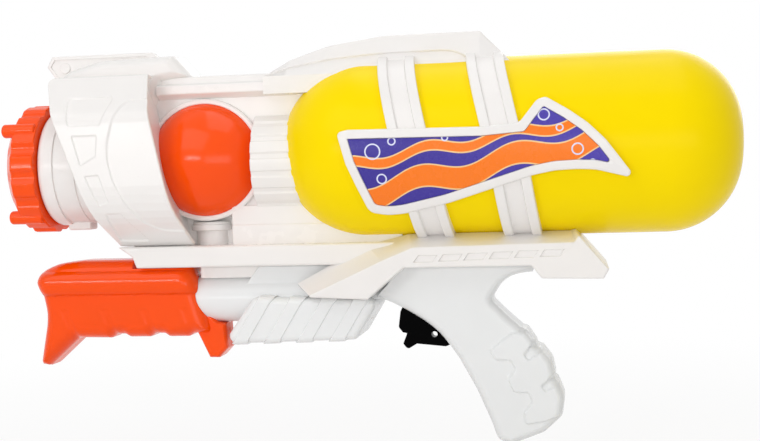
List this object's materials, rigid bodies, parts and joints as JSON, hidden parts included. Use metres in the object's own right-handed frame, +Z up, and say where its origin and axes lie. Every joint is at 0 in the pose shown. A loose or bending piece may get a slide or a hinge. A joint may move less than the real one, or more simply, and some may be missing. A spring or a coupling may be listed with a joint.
{
  "type": "water squirter",
  "caption": "Pump-action toy water squirter with a lying water tank in a strapped cradle, a pressure sphere, a sliding fore-grip, a turning nozzle dial and a sprung trigger.",
  "frame": {"origin": "middle of the hand grip, on the parting plane", "axes": "-X to the muzzle, +Z up, -Y to the side with the label"},
  "size_m": [0.4448, 0.1266, 0.2452],
  "materials": {
    "warm_white": "gloss, warm white",
    "cool_white": "gloss, cool white",
    "orange": "gloss",
    "yellow": "gloss",
    "black": "gloss",
    "label": "printed film",
    "rubber": "matt",
    "hose": "milky",
    "steel": "plated"
  },
  "bodies": {
    "body": {"housing_left": "warm_white", "housing_right": "warm_white", "shroud_left": "warm_white", "shroud_right": "warm_white", "nozzle_collar": "warm_white", "nozzle_manifold": "warm_white", "ball_neck": "warm_white", "pump_end_cap": "warm_white", "pump_valve_body": "warm_white", "trigger_valve": "warm_white", "frame_left": "cool_white", "frame_right": "cool_white", "pump_cylinder": "cool_white", "pressure_ball": "orange", "water_tank": "yellow", "side_label": "label", "dial_seal": "rubber", "inlet_flap": "rubber", "outlet_flap": "rubber", "tank_hose": "hose", "charge_hose": "hose", "feed_hose": "hose", "nozzle_hose": "hose", "dial_screw": "steel", "trigger_pin": "steel", "valve_spring": "steel", "housing_screw_1": "steel", "housing_screw_2": "steel", "housing_screw_3": "steel", "housing_screw_4": "steel", "housing_screw_5": "steel", "housing_screw_6": "steel", "frame_screw_1": "steel", "frame_screw_2": "steel", "frame_screw_3": "steel", "frame_screw_4": "steel"},
    "dial": {"nozzle_dial": "orange"},
    "pump": {"pump_handle_left": "orange", "pump_handle_right": "orange", "pump_rod": "warm_white", "pump_piston": "warm_white", "piston_o_ring": "rubber", "handle_screw_1": "steel", "handle_screw_2": "steel"},
    "trigger": {"trigger": "black"},
    "plunger": {"valve_plunger": "warm_white"},
    "cap": {"filler_cap": "orange", "filler_gasket": "rubber"}
  },
  "joints": [
    {"name": "dial_turn", "type": "hinge", "parent": "body", "child": "dial", "pos_m": [-0.2857, 0, 0.1178], "axis": [1, 0, 0], "continuous": true},
    {"name": "pump_slide", "type": "slide", "parent": "body", "child": "pump", "axis": [-1, 0, 0], "range_m": [0, 0.07]},
    {"name": "trigger_pull", "type": "hinge", "parent": "body", "child": "trigger", "pos_m": [-0.042, 0, 0.042], "axis": [0, -1, 0], "range_deg": [0, 8], "stiffness_Nm_per_rad": 0.3},
    {"name": "plunger_slide", "type": "slide", "parent": "body", "child": "plunger", "axis": [1, 0, 0], "range_m": [0, 0.0032], "deforming": ["valve_spring"]},
    {"name": "cap_lift", "type": "slide", "parent": "body", "child": "cap", "axis": [0, 1, 0], "range_m": [0, 0.03]}
  ],
  "couplings": [
    {"joint": "plunger_slide", "follows": "trigger_pull", "m_per_rad": 0.021}
  ]
}
